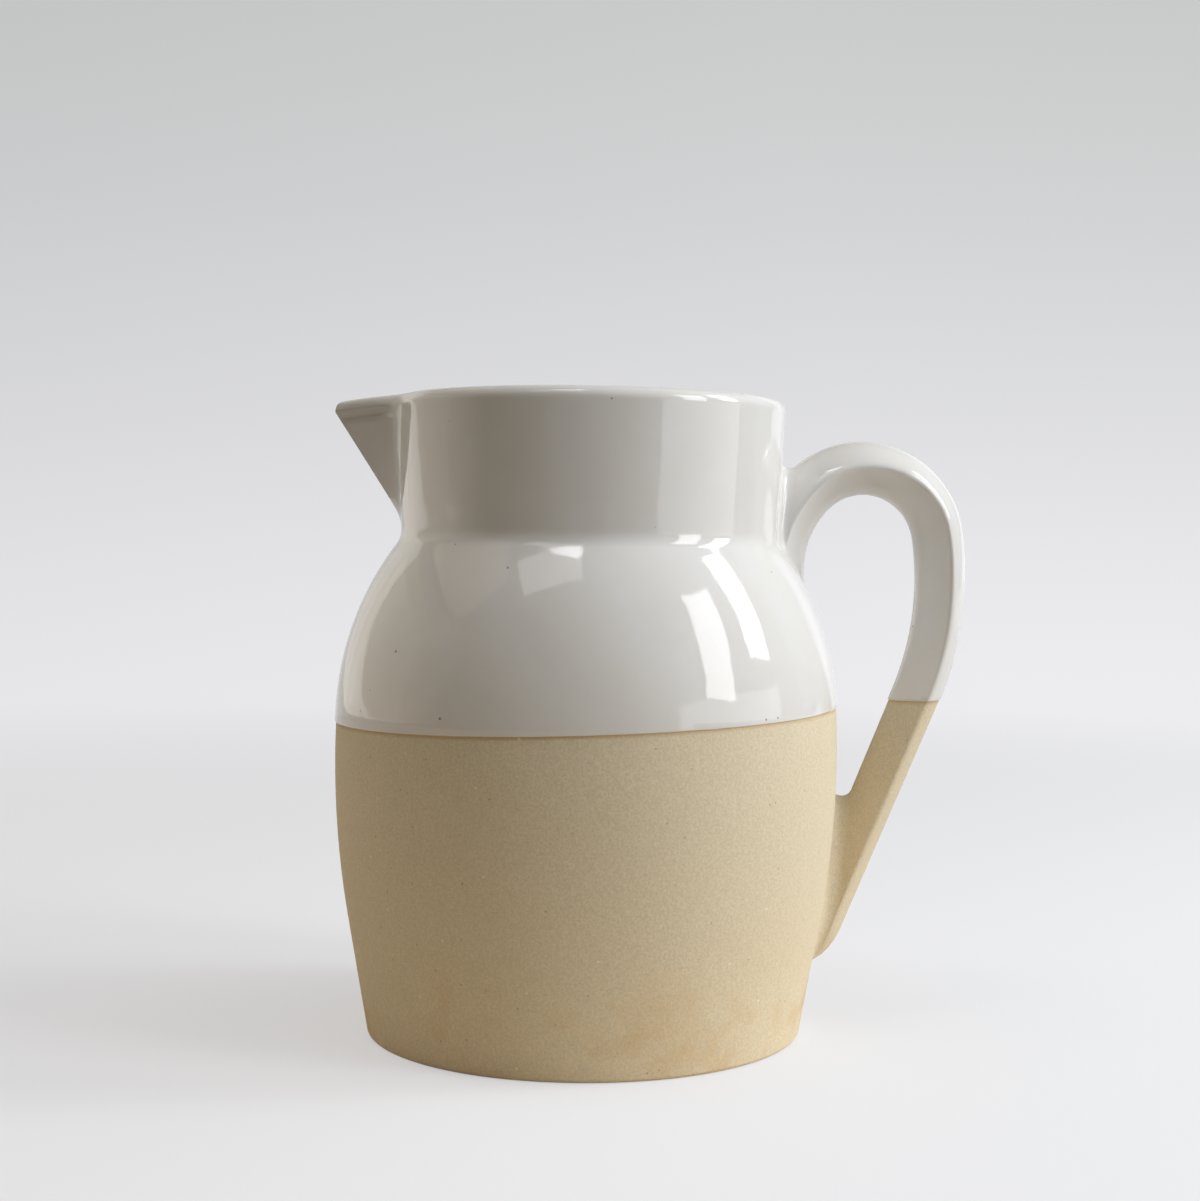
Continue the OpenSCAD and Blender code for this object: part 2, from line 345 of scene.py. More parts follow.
def cut_at_dip(piece, s, keep_inside=0.0):
    """Cuts the skin away below the dip line, outside radius keep_inside, and rolls its edge to the clay."""
    up = Vector((-sin(s.dip_tilt), 0, cos(s.dip_tilt)))
    at = Vector((0, 0, s.dip_z))
    bpy.context.view_layer.objects.active = piece
    bpy.ops.object.mode_set(mode="EDIT")
    bpy.ops.mesh.select_mode(type="FACE")
    bpy.ops.mesh.select_all(action="DESELECT")
    bm = bmesh.from_edit_mesh(piece.data)
    for f in bm.faces:
        c = f.calc_center_median()
        if hypot(c.x, c.y) > keep_inside and c.z < s.dip_z + DIP_REACH:
            f.select_set(True)
    bmesh.update_edit_mesh(piece.data)
    bpy.ops.mesh.bisect(plane_co=at, plane_no=up, clear_inner=True)
    bpy.ops.mesh.select_mode(type="EDGE")
    for inward, down in ROLL_STEPS:
        bpy.ops.mesh.select_all(action="DESELECT")
        bm = bmesh.from_edit_mesh(piece.data)
        bm.normal_update()
        for e in bm.edges:
            mid = (e.verts[0].co + e.verts[1].co) / 2
            at_dip = abs((mid - at).dot(up)) < ROLL_REACH
            if e.is_boundary and at_dip and hypot(mid.x, mid.y) > keep_inside:
                e.select_set(True)
        bmesh.update_edit_mesh(piece.data)
        bpy.ops.mesh.extrude_edges_move()
        bm = bmesh.from_edit_mesh(piece.data)
        for v in (v for v in bm.verts if v.select):
            # The skin's own outward direction, from the faces above the new edge
            above = [o for o in (e.other_vert(v) for e in v.link_edges) if not o.select]
            normals = [f.normal for o in above for f in o.link_faces if f.calc_area() > 0]
            out = sum(normals, Vector()).normalized()
            out = (out - out.dot(up) * up).normalized()
            v.co -= inward * out + down * up
        bmesh.update_edit_mesh(piece.data)
    bpy.ops.mesh.select_mode(type="VERT")
    bpy.ops.object.mode_set(mode="OBJECT")


def back_with_wall(piece, thickness):
    """Gives a skin its thickness, inwards."""
    take_up(piece)
    skin = piece.modifiers.new("Glaze thickness", "SOLIDIFY")
    skin.thickness = thickness
    skin.offset = -1
    bpy.ops.object.modifier_apply(modifier=skin.name)


def face_outwards(piece, test):
    """Turns the mesh round if its face nearest to the test point looks at the jug's axis."""
    best = min(piece.data.polygons, key=lambda f: (f.center - Vector(test)).length)
    if best.normal.dot(Vector((test[0], test[1], 0))) < 0:
        take_up(piece)
        bpy.ops.object.mode_set(mode="EDIT")
        bpy.ops.mesh.select_all(action="SELECT")
        bpy.ops.mesh.flip_normals()
        bpy.ops.object.mode_set(mode="OBJECT")


def finish_piece(piece, material, slot, *nodes):
    """Smooths, colours and hangs a piece on the frame in place of the nodes that it stands for."""
    take_up(piece)
    bpy.ops.object.shade_smooth_by_angle(angle=SHARP_ANGLE)
    piece.data.materials.clear()
    piece.data.materials.append(material)
    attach(piece, "root")
    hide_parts(*nodes)
    piece.select_set(False)


# Beak

# The channel inside starts a little nearer to the tip than the slab's thickness gives, and is rounded
CHANNEL_REACH = 0.8 * MM
CHANNEL_ROUND = 0.9 * MM
CHANNEL_BLEND = 2.2 * MM
# The lip counts as full this much beyond the middle of the fold
LIP_OVER = 3 * MM
# The drop of the lip dies out within this depth below the rim
DROP_DEPTH = 26.8 * MM
# Low down the sides meet the neck in a firm line, which softens upwards from this depth over this height
FIRM_BLEND = 2 * MM
SOFT_DEPTH = 31.8 * MM
SOFT_RISE = 18 * MM
# The crease lies so deep below the lip and is so wide. In shares of the lip it starts, ends and fades so
CREASE_DEPTH = 1.6 * MM
CREASE_WIDTH = 1.2 * MM
CREASE_START = 0.08
CREASE_END = 0.98
CREASE_FADE = 0.3
# The lip grows so much fuller than the round rim, over this first part of its way
LIP_FULLNESS = 0.6
FULL_FROM = 0.5


def clamp(x):
    """Keeps x between 0 and 1."""
    return min(max(x, 0), 1)


def soft_max(a, b, k):
    """The larger of two values, blended where they are less than k apart."""
    h = max(k - abs(a - b), 0) / k
    return max(a, b) + h * h * k / 4


def soft_step(x):
    """Goes from 0 to 1 while x does, with a level start and end."""
    x = clamp(x)
    return x * x * (3 - 2 * x)


def beak_outside(b, off, phi, z):
    """Distance from the jug's axis to the outside of the fold, seen phi away from its middle."""
    r = b.slab_t / 2 + off
    middle = b.tip_reach - (b.tip_z - z) * tan(b.keel_tilt) + r * (1 / cos(b.keel_tilt) - 1)
    phi, w = abs(phi), b.half_angle
    if phi <= atan2(r * cos(w), middle + r * sin(w)):
        return middle * cos(phi) + sqrt(max(r * r - (middle * sin(phi)) ** 2, 0))
    return (r + middle * sin(w)) / sin(w + phi)


def beak_inside(b, off, phi, z):
    """Distance from the jug's axis to the channel inside the fold, seen phi away from its middle."""
    r = b.slab_t / 2 + off
    apex = b.tip_reach - (b.tip_z - z) * tan(b.keel_tilt) - r / sin(b.half_angle) + CHANNEL_REACH
    # The bottom of the channel is a little rounded
    phi = hypot(phi, CHANNEL_ROUND / apex)
    return apex * sin(b.half_angle) / sin(b.half_angle + phi)


def pull_beak(piece, s, m, b, off):
    """Pulls the wall of the neck out into the beak."""
    rim_z, low_z = m.rim_c[1], m.hollow_c[1]
    half = s.wall / 2 + off
    flare = s.rim_flare / (rim_z - low_z)
    reach = b.tip_reach - m.rim_r + LIP_OVER
    for v in piece.data.vertices:
        x, y, z = v.co
        phi = atan2(y, -x)
        if x >= 0 or z < low_z or abs(phi) > BEAK_SECTOR:
            continue
        r = hypot(x, y)
        mid = m.rim_c[0] - max(rim_z - z, 0) * flare
        if abs(r - mid) > 2 * half:
            continue
        # How far along the lip this column lies: 0 at the neck and 1 at the tip
        lip = soft_max(m.rim_r + off, beak_outside(b, off, phi, b.tip_z), b.blend)
        out = clamp((lip - m.rim_r - off) / reach)
        drop = b.drop * out * clamp(1 - (rim_z - z) / DROP_DEPTH)
        level = min(z, rim_z) - drop
        blend = FIRM_BLEND + (b.blend - FIRM_BLEND) * soft_step((z - rim_z + SOFT_DEPTH) / SOFT_RISE)
        outside = soft_max(mid + half, beak_outside(b, off, phi, level), blend)
        inside = soft_max(mid - half, beak_inside(b, off, phi, level), CHANNEL_BLEND)
        # A soft crease under the rolled lip, fading out at the tip and at the neck
        above_lip = z - drop - (rim_z - b.drop * out)
        fade = soft_step((out - CREASE_START) / CREASE_FADE) * soft_step((CREASE_END - out) / CREASE_FADE)
        outside -= b.crease * fade * exp(-(((above_lip + CREASE_DEPTH) / CREASE_WIDTH) ** 2))
        # Towards the tip the lip is fuller than the round rim
        side = (r - mid) / half
        side = copysign(abs(side) ** (1 - LIP_FULLNESS * soft_step(out / FULL_FROM)), side)
        new_r = (outside + inside) / 2 + side * (outside - inside) / 2
        v.co = (-new_r * cos(phi), new_r * sin(phi), z - drop)
    piece.data.update()


# Handle

STRAP_COLUMNS = 60
# How much closer the columns lie at the strap's two edges
EDGE_CROWDING = 0.24
# The root leaves the body within the first of these lengths, and the tail meets it within the last
ROOT_RUN = 54 * MM
TAIL_RUN = 64 * MM
RUN_STEP = 0.25 * MM
# Rows on the root, the bow, the tail and each smoothed weld
ROOT_ROWS = 20
BOW_ROWS = 56
TAIL_ROWS = 30
WELD_ROWS = 14
# A skirt carries each weld on over the wall, sunk a hair, to an edge that is buried in it
SKIRT = 1.8 * MM
SKIRT_SINK = 0.05 * MM
BURIED = 1.5 * MM
# How much thinner and narrower the rounded end of the tail becomes
TIP_THINNING = 0.98
TIP_NARROWING = 0.8
# The strap's edges move towards its outer face from this length on, over this one
SHIFT_FROM = 52 * MM
SHIFT_RUN = 38 * MM

# One stretch of the strap's centre line: a straight one where its radius is 0, else a bend
Leg = namedtuple("Leg", "x z heading run length radius")


def whole(legs):
    """Length of the centre line up to the end of its last leg."""
    return legs[-1].run + legs[-1].length


def axis_at(legs, run):
    """Place and heading of the centre line after a length."""
    leg = next((leg for leg in legs if run <= leg.run + leg.length), legs[-1])
    x, z, heading, r = leg.x, leg.z, leg.heading, leg.radius
    go = run - leg.run
    if r == 0:
        return x + go * cos(heading), z + go * sin(heading), heading
    a = heading - go / r
    return x + r * (sin(heading) - sin(a)), z + r * (cos(a) - cos(heading)), a


def strap_axis(h):
    """The strap's centre line, from its root inside the shoulder to the end of its tail in the wall."""
    legs = [Leg(h.root_x, h.root_z, pi / 2, 0.0, h.root_rise, 0.0)]

    def end():
        return axis_at(legs, whole(legs))

    def go_on(run, r):
        legs.append(Leg(*end(), whole(legs), run, r))

    go_on(h.lead_r * h.lead_angle, h.lead_r)
    go_on(h.crown_r * h.crown_angle, h.crown_r)
    # The bow runs on until the tail, straight ahead of it, meets its place in the wall
    x, z, heading = end()
    centre = (x + h.bow_r * sin(heading), z - h.bow_r * cos(heading))
    go_on(h.bow_r * (heading - touch_angle(centre, (h.tail_x, h.tail_z), h.bow_r)), h.bow_r)
    x, z, heading = end()
    go_on(hypot(h.tail_x - x, h.tail_z - z), 0.0)
    return legs


def strap_point(h, legs, off, run, a):
    """A point on the strap's surface: angle a is 0 on its outer face and half a turn on its inner one."""
    total = whole(legs)
    x, z, heading = axis_at(legs, min(run, total))
    into_tip = clamp(1 - (total - run) / h.tip_l)
    half_t = (h.root_t + (h.tail_t - h.root_t) * run / (total - h.tip_l)) / 2
    half_t = half_t * sqrt(1 - (TIP_THINNING * into_tip) ** 2) + off
    half_w = h.strap_w / 2 * sqrt(1 - (TIP_NARROWING * into_tip) ** 2) + off
    # Below the crown the outer face is flatter and the edges lie nearer to it
    shift = h.edge_shift * soft_step((run - SHIFT_FROM) / SHIFT_RUN)
    pinch = h.pinch if cos(a) > 0 else h.inner_pinch
    t = half_t * (cos(a) * (1 - pinch * sin(a) ** 2) + shift * sin(a) ** 2)
    return Vector((x - t * sin(heading), half_w * sin(a), z + t * cos(heading)))


def strap_rings(s, m, h, off):
    """Rings of points over the strap, smoothed on to the wall at both ends as by a rolled ball."""
    legs = strap_axis(h)
    total = whole(legs)
    head, tail = ROOT_RUN, total - TAIL_RUN
    line = side_line(s, m, off, 0, s.foot_round_r)
    heights = [p[1] for p in line]

    def radius(z):
        """Radius of the wall at a height."""
        i = min(max(bisect_right(heights, z), 1), len(line) - 1)
        (r0, z0), (r1, z1) = line[i - 1], line[i]
        return r0 + (r1 - r0) * (z - z0) / (z1 - z0)

    def on_wall(p, sink=0.0):
        """The wall beside a point, sunk a little, and the wall's outward direction there."""
        f = atan2(p.y, p.x)
        step = 0.3 * MM
        lean = (radius(p.z + step) - radius(p.z - step)) / (2 * step)
        out = Vector((cos(f), sin(f), -lean)).normalized()
        return Vector((radius(p.z) * cos(f), radius(p.z) * sin(f), p.z)) - sink * out, out

    def gap(p):
        """How far outside the wall a point lies."""
        near, out = on_wall(p)
        return (p - near).dot(out)

    def point(run, a):
        return strap_point(h, legs, off, run, a)

    def face(run, a):
        """The strap's outward direction on its line a."""
        turn, step = 0.01, 0.1 * MM
        across = point(run, a + turn) - point(run, a - turn)
        along = point(run + step, a) - point(run - step, a)
        return along.cross(across).normalized()

    def inside_runs(a, start, stop):
        """Lengths between two others at which the strap's line a lies inside the body."""
        runs = [start + i * RUN_STEP for i in range(int((stop - start) / RUN_STEP) + 1)]
        return [run for run in runs if gap(point(run, a)) < 0]

    def weld(a, inside, outside, ball):
        """Points from the strap's line a on to the wall: a hollow arc, a skirt and its buried edge."""
        corner = point(inside, a)
        if gap(point(outside, a) + ball * face(outside, a)) < ball:
            raise RuntimeError("the handle doesn't clear the wall")
        # Halving finds where the ball, rolled along the strap, first touches the wall
        for _ in range(32):
            run = (inside + outside) / 2
            if gap(point(run, a) + ball * face(run, a)) < ball:
                inside = run
            else:
                outside = run
        run = outside
        up = face(run, a)
        centre = point(run, a) + ball * up
        _, out = on_wall(centre)
        turn = acos(min(max(up.dot(out), -1), 1))
        turns = [turn * i / WELD_ROWS for i in range(1, WELD_ROWS + 1)]
        curve = [centre - ball * (sin(turn - t) * up + sin(t) * out) / sin(turn) for t in turns]
        on = curve[-1] - curve[-2]
        on = (on - on.dot(out) * out).normalized()
        skirt, _ = on_wall(curve[-1] + SKIRT * on, SKIRT_SINK)
        buried, _ = on_wall(corner, BURIED)
        return run, curve + [skirt, buried]

    columns = []
    for j in range(STRAP_COLUMNS):
        a = 2 * pi * (j + 0.5) / STRAP_COLUMNS
        a += EDGE_CROWDING * sin(2 * a)
        # The root leaves the body where its line was last inside, the tail meets it where it first is
        first = max(inside_runs(a, 0, head), default=0)
        last = min(inside_runs(a, tail, total), default=total)
        from_run, root = weld(a, first, head, h.root_fillet)
        to_run, end = weld(a, last, tail, h.tail_fillet)
        runs = [from_run + (head - from_run) * i / ROOT_ROWS for i in range(ROOT_ROWS)]
        runs += [head + (tail - head) * i / BOW_ROWS for i in range(BOW_ROWS)]
        runs += [tail + (to_run - tail) * i / TAIL_ROWS for i in range(TAIL_ROWS + 1)]
        columns.append(root[::-1] + [point(run, a) for run in runs] + end)
    return [list(ring) for ring in zip(*columns)]


# Materials

WHITE = (1, 1, 1, 1)
BLACK = (0, 0, 0, 1)
# Sockets of a Mix node that mixes colours
MIX_A = 6
MIX_B = 7
MIXED = 2


def add_node(tree, kind, settings=None, links=None):
    """Adds a shader node, sets its settings or input values by name and links its inputs to other nodes."""
    node = tree.nodes.new("ShaderNode" + kind)
    for key, value in (settings or {}).items():
        if key == "stops":
            ramp = node.color_ramp
            while len(ramp.elements) < len(value):
                ramp.elements.new(1.0)
            for stop, (place, tone) in zip(ramp.elements, value):
                stop.position, stop.color = place, tone
        elif isinstance(key, str) and hasattr(node, key):
            setattr(node, key, value)
        else:
            node.inputs[key].default_value = value
    for key, (other, output) in (links or {}).items():
        tree.links.new(other.outputs[output], node.inputs[key])
    return node


def new_material(name):
    """An empty material, its node tree, its surface shader and its Object coordinates."""
    made = bpy.data.materials.new(name)
    made.use_nodes = True
    tree = made.node_tree
    tree.nodes.clear()
    shader = add_node(tree, "BsdfPrincipled")
    add_node(tree, "OutputMaterial", links={"Surface": (shader, "BSDF")})
    return made, tree, shader, {"Vector": (add_node(tree, "TexCoord"), "Object")}


def sprinkled(tree, at, spacing, core, edge, few, channel):
    """Round spots in a few of many cells: spacing is the size of a cell, and in shares of it a spot is solid
    out to core and gone at edge. The cell's own colour channel picks the few."""
    cell = add_node(tree, "TexVoronoi", {"Scale": 1 / spacing, "Randomness": 1.0}, at)
    spot = add_node(tree, "ValToRGB", {"stops": [(core, WHITE), (edge, BLACK)]}, {"Fac": (cell, "Distance")})
    pick = add_node(tree, "SeparateColor", links={"Color": (cell, "Color")})
    some = add_node(tree, "Math", {"operation": "LESS_THAN", 1: few}, {0: (pick, channel)})
    return add_node(tree, "Math", {"operation": "MULTIPLY"}, {0: (spot, "Color"), 1: (some, "Value")})


def sanded_stoneware(finish, s):
    """Buff stoneware clay, thrown and fired bare: matt and sandy, with brown and pale grains, warmer
    where the flame touched it and in a line along the edge of the glaze."""
    if "sanded_stoneware" in bpy.data.materials:
        return bpy.data.materials["sanded_stoneware"]
    made, tree, shader, at = new_material("sanded_stoneware")
    # Clouds of tone about 25 mm across
    cloud = add_node(tree, "TexNoise", {"Scale": 1 / (25 * MM), "Detail": 4.0, "Roughness": 0.6}, at)
    # Sand, drawn about 0.65 mm coarse so that it shows
    sand = add_node(tree, "TexNoise", {"Scale": 1 / (0.65 * MM), "Detail": 3.0, "Roughness": 0.7}, at)
    sand_tone = add_node(tree, "ValToRGB", {"stops": [(0.36, BLACK), (0.66, WHITE)]}, {"Fac": (sand, "Fac")})
    # Few faint brown grains about 0.5 mm
    grain = sprinkled(tree, at, 1.6 * MM, 0.12, 0.24, 0.04, "Red")
    faint = add_node(tree, "Math", {"operation": "MULTIPLY", 1: 0.6}, {0: (grain, "Value")})
    # Pale flecks about 0.6 mm, one in each 9 mm or so
    fleck = sprinkled(tree, at, 4.5 * MM, 0.06, 0.11, 0.12, "Green")
    # Depth below the tilted dip line, and a warm line along the edge of the glaze
    parts = add_node(tree, "SeparateXYZ", links=at)
    lift = add_node(
        tree, "Math", {"operation": "MULTIPLY_ADD", 1: tan(s.dip_tilt), 2: s.dip_z}, {0: (parts, "X")}
    )
    depth = add_node(tree, "Math", {"operation": "SUBTRACT"}, {0: (lift, "Value"), 1: (parts, "Z")})
    edge = add_node(
        tree, "MapRange", {"From Min": 0.3 * MM, "From Max": 1.5 * MM, "To Min": 0.75, "To Max": 0.0},
        {"Value": (depth, "Value")},
    )
    # Warm patches low on the wall
    low = add_node(
        tree, "MapRange", {"From Min": 6 * MM, "From Max": 34 * MM, "To Min": 0.7, "To Max": 0.0},
        {"Value": (parts, "Z")},
    )
    patch = add_node(tree, "ValToRGB", {"stops": [(0.5, BLACK), (0.72, WHITE)]}, {"Fac": (cloud, "Fac")})
    toast = add_node(tree, "Math", {"operation": "MULTIPLY"}, {0: (low, "Result"), 1: (patch, "Color")})
    warmth = add_node(tree, "Math", {"operation": "MAXIMUM"}, {0: (toast, "Value"), 1: (edge, "Result")})
    # The tones, laid one over the other
    dark = tuple(c * 0.83 for c in finish.clay[:3]) + (1,)
    base = add_node(
        tree, "Mix", {"data_type": "RGBA", MIX_A: dark, MIX_B: finish.clay}, {0: (sand_tone, "Color")}
    )
    for tone, mask in ((finish.clay_toast, warmth), (finish.clay_grain, faint), (finish.clay_pale, fleck)):
        base = add_node(
            tree, "Mix", {"data_type": "RGBA", MIX_B: tone}, {0: (mask, "Value"), MIX_A: (base, MIXED)}
        )
    tree.links.new(base.outputs[MIXED], shader.inputs["Base Color"])
    shader.inputs["Roughness"].default_value = 0.86
    shader.inputs["IOR"].default_value = 1.5
    bump = add_node(tree, "Bump", {"Strength": 0.5, "Distance": 0.12 * MM}, {"Height": (sand, "Fac")})
    tree.links.new(bump.outputs["Normal"], shader.inputs["Normal"])
    return made


def white_glaze(finish):
    """White stoneware glaze, dipped and fired glossy: smooth and a little wavy, so lights lie on it in
    soft-edged shapes, milky where it is thick, with few iron specks bled from the clay."""
    if "white_stoneware_glaze" in bpy.data.materials:
        return bpy.data.materials["white_stoneware_glaze"]
    made, tree, shader, at = new_material("white_stoneware_glaze")
    # Clouds of thicker and thinner glaze about 18 mm across
    cloud = add_node(tree, "TexNoise", {"Scale": 1 / (18 * MM), "Detail": 5.0, "Roughness": 0.62}, at)
    cloud_tone = add_node(tree, "ValToRGB", {"stops": [(0.3, BLACK), (0.8, WHITE)]}, {"Fac": (cloud, "Fac")})
    thin = add_node(tree, "Math", {"operation": "MULTIPLY", 1: 0.28}, {0: (cloud_tone, "Color")})
    base = add_node(
        tree, "Mix", {"data_type": "RGBA", MIX_A: finish.glaze, MIX_B: finish.glaze_thin},
        {0: (thin, "Value")},
    )
    # Iron specks about 0.5 mm, one in each 10 mm or so
    speck = sprinkled(tree, at, 5.5 * MM, 0.035, 0.085, 0.13, "Blue")
    specks = add_node(
        tree, "Mix", {"data_type": "RGBA", MIX_B: finish.glaze_speck},
        {0: (speck, "Value"), MIX_A: (base, MIXED)},
    )
    tree.links.new(specks.outputs[MIXED], shader.inputs["Base Color"])
    shader.inputs["Roughness"].default_value = 0.06
    shader.inputs["IOR"].default_value = 1.52
    # Slow waves about 9 mm long and a fine skin of about 1.4 mm
    wave = add_node(tree, "TexNoise", {"Scale": 1 / (9 * MM), "Detail": 1.0}, at)
    skin = add_node(tree, "TexNoise", {"Scale": 1 / (1.4 * MM), "Detail": 2.0}, at)
    slow = add_node(tree, "Bump", {"Strength": 1.0, "Distance": 0.1 * MM}, {"Height": (wave, "Fac")})
    fine = add_node(
        tree, "Bump", {"Strength": 1.0, "Distance": 0.006 * MM},
        {"Height": (skin, "Fac"), "Normal": (slow, "Normal")},
    )
    tree.links.new(fine.outputs["Normal"], shader.inputs["Normal"])
    return made


# The sheet throws most light back on the jug from this place, to the left in front of it
BOUNCE_PLACE = (-0.06, -0.05, 0.0)
# The sheet's colour as the eye sees it, from the table up to SHEET_TOP_Z, with painted shade darkening it
# towards the top
SHEET_SHADE_TONES = ((0.0, "#EDEDF0"), (0.25, "#E0E0E3"), (0.55, "#D3D4D5"), (1.0, "#C6C9C8"))
SHEET_TOP_Z = 1.1


def matt_sheet(finish):
    """Matt white sheet, swept up behind the jug: it takes the jug's shadow and lights it from below near by,
    and further off the eye sees only its pale colour, with painted shade making it a little darker towards
    the top."""
    made, tree, shader, at = new_material("matt_white_sheet")
    parts = add_node(tree, "SeparateXYZ", links=at)
    path = add_node(tree, "LightPath")
    by_eye, by_glaze = (path, "Is Camera Ray"), (path, "Is Glossy Ray")
    off = add_node(tree, "VectorMath", {"operation": "LENGTH"}, {0: at["Vector"]})
    beside = add_node(tree, "VectorMath", {"operation": "DISTANCE", 1: BOUNCE_PLACE}, {0: at["Vector"]})
    # Light is thrown back on the jug only from the sheet close by
    near = add_node(
        tree, "MapRange",
        {"interpolation_type": "SMOOTHSTEP", "From Min": 0.12, "From Max": 0.42,
         "To Min": 1.0, "To Max": 0.0},
        {"Value": (beside, "Value")},
    )
    given = add_node(
        tree, "Mix", {"data_type": "RGBA", MIX_A: finish.room, MIX_B: finish.bounce}, {0: (near, "Result")}
    )
    # The eye, and within a metre the glaze too, sees the sheet's plain colour
    around = add_node(
        tree, "MapRange", {"From Min": 0.5, "From Max": 1.0, "To Min": 1.0, "To Max": 0.0},
        {"Value": (off, "Value")},
    )
    shine = add_node(tree, "Math", {"operation": "MULTIPLY"}, {0: (around, "Result"), 1: by_glaze})
    plain = add_node(tree, "Math", {"operation": "MAXIMUM"}, {0: (shine, "Value"), 1: by_eye})
    base = add_node(
        tree, "Mix", {"data_type": "RGBA", MIX_B: finish.floor}, {0: (plain, "Value"), MIX_A: (given, MIXED)}
    )
    tree.links.new(base.outputs[MIXED], shader.inputs["Base Color"])
    shader.inputs["Roughness"].default_value = 0.8
    shader.inputs["Specular IOR Level"].default_value = 0.2
    # The pale colour itself, with painted shade that darkens it towards the top and a little to the left
    rise = add_node(tree, "MapRange", {"From Min": 0.0, "From Max": SHEET_TOP_Z}, {"Value": (parts, "Z")})
    stops = [(place, from_hex(text)) for place, text in SHEET_SHADE_TONES]
    tone = add_node(tree, "ValToRGB", {"stops": stops}, {"Fac": (rise, "Result")})
    # Painted shade: the sheet's glow is dimmed a little towards the left
    side = add_node(
        tree, "MapRange", {"From Min": -0.9, "From Max": 0.5, "To Min": 0.9, "To Max": 1.0},
        {"Value": (parts, "X")},
    )
    seen = add_node(tree, "Emission", links={"Color": (tone, "Color"), "Strength": (side, "Result")})
    # Beside the jug the eye sees the lit sheet through it, and from a metre away only that colour. The glaze
    # mirrors it behind the jug
    far = add_node(
        tree, "MapRange",
        {"interpolation_type": "SMOOTHSTEP", "From Min": 0.3, "From Max": 1.2,
         "To Min": 0.55, "To Max": 1.0},
        {"Value": (off, "Value")},
    )
    behind = add_node(tree, "MapRange", {"From Min": -0.05, "From Max": 0.15}, {"Value": (parts, "Y")})
    mirror = add_node(tree, "Math", {"operation": "MULTIPLY"}, {0: (behind, "Result"), 1: by_glaze})
    eye = add_node(tree, "Math", {"operation": "MAXIMUM"}, {0: by_eye, 1: (mirror, "Value")})
    part = add_node(tree, "Math", {"operation": "MULTIPLY"}, {0: (far, "Result"), 1: (eye, "Value")})
    both = add_node(
        tree, "MixShader", links={0: (part, "Value"), 1: (shader, "BSDF"), 2: (seen, "Emission")}
    )
    out = next(n for n in tree.nodes if n.type == "OUTPUT_MATERIAL")
    tree.links.new(both.outputs["Shader"], out.inputs["Surface"])
    return made


# Stage

# The sheet's size, how high it rises behind the jug and the radius of its sweep, in metres
SHEET_SIZE = 5.0
SHEET_RISE = 2.0
SWEEP_R = 1.4
SWEEP_STEPS = 24
# The photograph's view in metres and radians, with the handle turned a little away from the camera
HANDLE_TURN = radians(5)
CAMERA_PLACE = (0, -0.56497, 0.13993)
CAMERA_YAW = 0.0393
CAMERA_PITCH = 0.0302
CAMERA_ROLL = 0.0139
SENSOR_MM = 36
# Width of the photograph, focal length and shift of its middle, in its pixels
PHOTO_W = 1200
FOCAL_LENGTH = 1971.3
MIDDLE_SHIFT = -66.68
# Windows and walls as soft lamps: azimuth from the camera's side to the right, elevation, width, height and
# roll in degrees, then radiance and tint
LAMPS = {
    "window_near": (91, 33, 12, 32, -14, 9.6, "#FAFCFF"),
    "window_middle": (63, 26, 14.5, 36, -8, 6.6, "#FAFCFF"),
    "curtain": (46, 14, 9, 30, -4, 0.3, "#FFFFFF"),
    "right_wall": (88, 38, 74, 54, 0, 1.03, "#EAF6FF"),
    "right_sill": (67, 2, 54, 14, 0, 1.45, "#FFFFFF"),
    "right_back": (130, 20, 40, 40, 0, 0.25, "#EAF6FF"),
    "skylight": (-25, 69.5, 13, 5, 0, 7.6, "#F4F8FF"),
    "ceiling": (-31, 60, 24, 16, 32, 1.8, "#FFFFFF"),
    "top": (-10, 80, 50, 34, 0, 1.45, "#FFF8EE"),
    "left_room": (-112, 12, 92, 54, 0, 0.23, "#FBF4E6"),
    "left_wide": (-112, 12, 80, 46, 0, 0.245, "#FBF4E6"),
    "left_middle": (-112, 12, 64, 38, 0, 0.26, "#FBF4E6"),
    "left_core": (-112, 12, 46, 28, 0, 0.29, "#FBF4E6"),
    "left_high": (-105, 50, 60, 26, 0, 0.58, "#FFECD4"),
}
# The ceiling is only seen mirrored in the glaze, and two broad lights never are
ONLY_MIRRORED = ("ceiling",)
NEVER_MIRRORED = ("top", "right_wall")
# The lamps look at the middle of the jug from this far, the broader ones from a little further behind
LAMP_AIM = (0, 0, 0.1)
LAMP_FAR = 1.3
FURTHER_PER_DEGREE = 0.001


def lay_sheet(finish):
    """Lays the pale floor and sweeps it up behind the jug."""
    bpy.ops.mesh.primitive_plane_add(size=SHEET_SIZE, location=(0, 0, 0))
    floor = begin("pale_floor")
    bpy.ops.mesh.select_mode(type="EDGE")
    select_edges(floor, lambda e: all(v.co.y > 0 for v in e.verts))
    bpy.ops.mesh.extrude_edges_move(TRANSFORM_OT_translate={"value": (0, 0, SHEET_RISE)})
    select_edges(floor, lambda e: all(v.co.y > 0 and v.co.z < SHEET_RISE / 2 for v in e.verts))
    bpy.ops.mesh.bevel(offset=SWEEP_R, segments=SWEEP_STEPS)
    bpy.ops.mesh.select_mode(type="VERT")
    bpy.ops.object.mode_set(mode="OBJECT")
    bpy.ops.object.shade_smooth()
    floor.data.materials.append(matt_sheet(finish))


